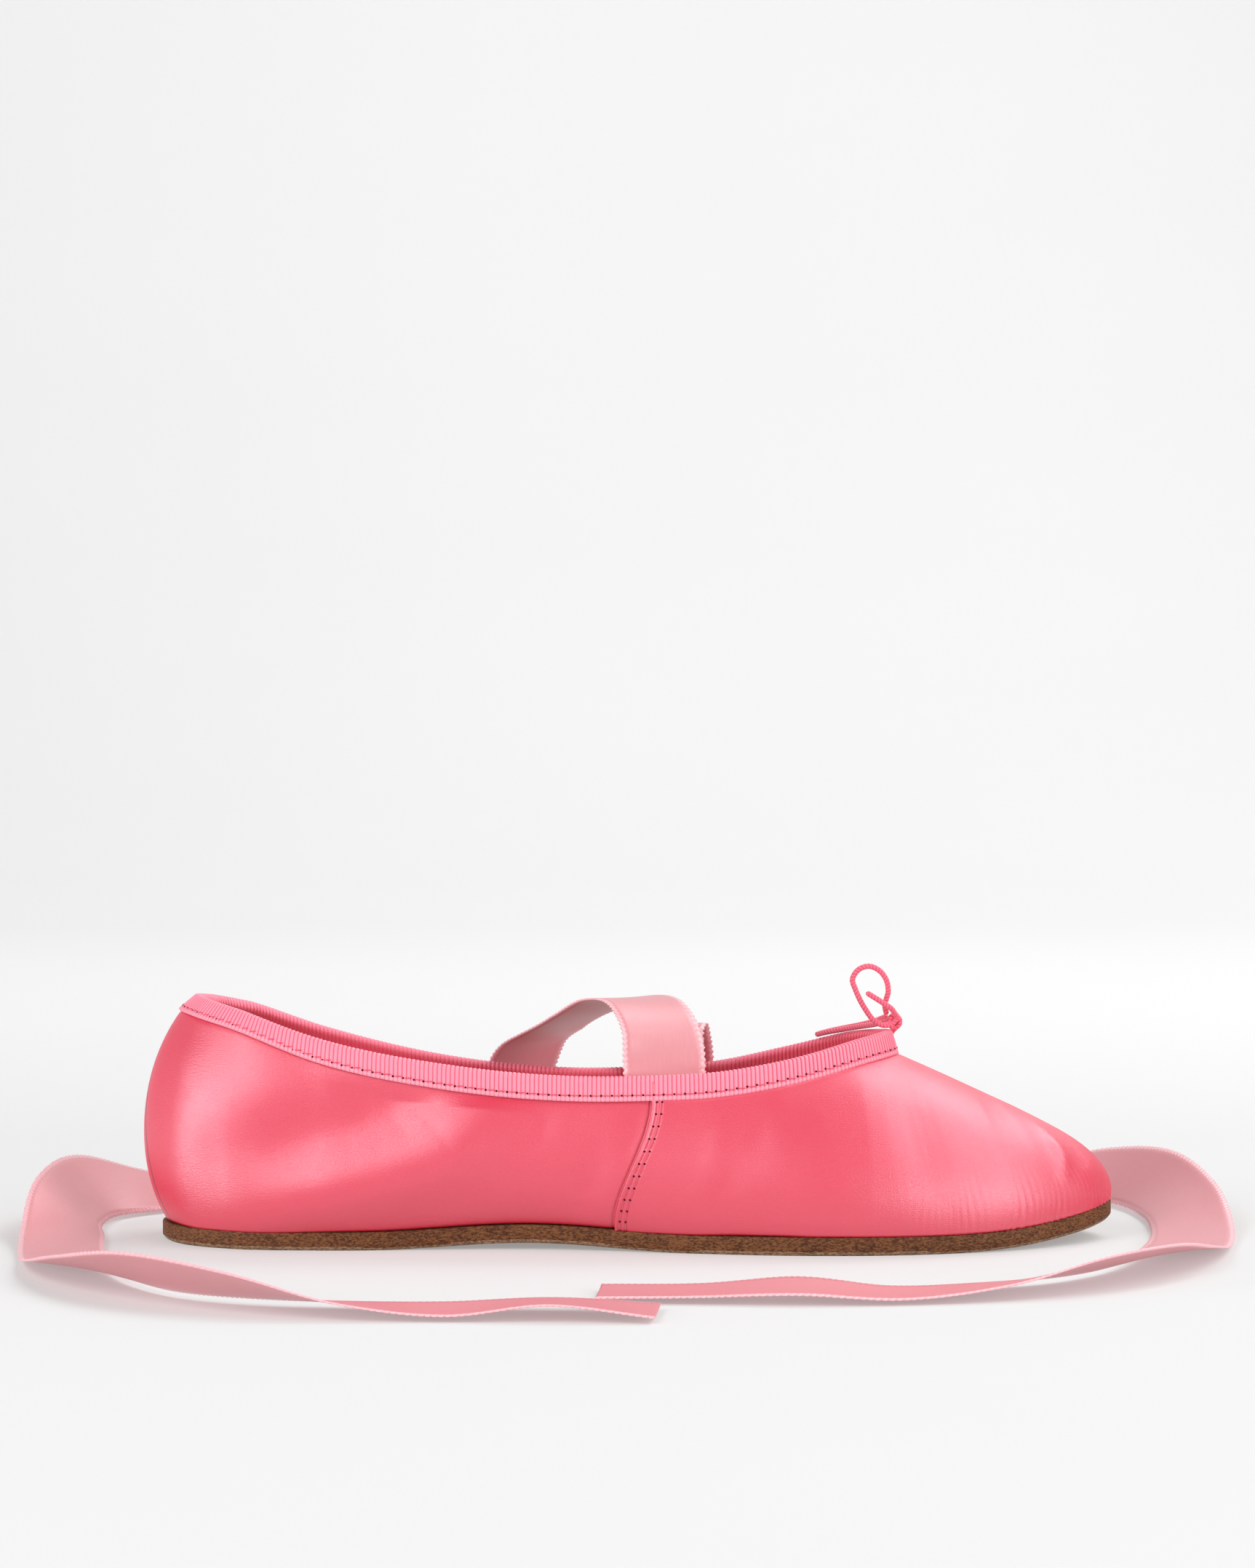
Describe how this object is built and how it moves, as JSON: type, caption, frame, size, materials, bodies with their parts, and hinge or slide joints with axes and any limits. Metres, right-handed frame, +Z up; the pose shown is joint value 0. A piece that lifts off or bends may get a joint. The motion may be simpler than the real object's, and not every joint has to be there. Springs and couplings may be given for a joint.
{
  "type": "ballet flat",
  "caption": "Pink satin ballet flat with ribbed collar tape, a thin cord bow at the throat, a flat brown leather sole and loose ankle ribbons.",
  "frame": {"origin": "on the floor under the middle of the shoe, ribbons left out", "axes": "+X towards the toe, +Y towards the medial side, +Z up"},
  "size_m": [0.3206, 0.2686, 0.0728],
  "materials": {
    "sole_leather": "cut grainy edge, matt",
    "sock_lining": "matt",
    "upper_satin": "satin sheen",
    "ribbed_tape": "matt, fine ribs",
    "ribbon_satin": "satin sheen",
    "bow_cord": "matt woven cord"
  },
  "bodies": {
    "root": {"outsole": "sole_leather", "insole": "sock_lining", "upper": "upper_satin", "collar_binding": "ribbed_tape", "ribbon_lateral": "ribbon_satin", "ribbon_medial": "ribbon_satin", "bow_knot": "bow_cord", "bow_loop_lateral": "bow_cord", "bow_loop_medial": "bow_cord", "bow_end_lateral": "bow_cord", "bow_end_medial": "bow_cord"}
  },
  "joints": []
}
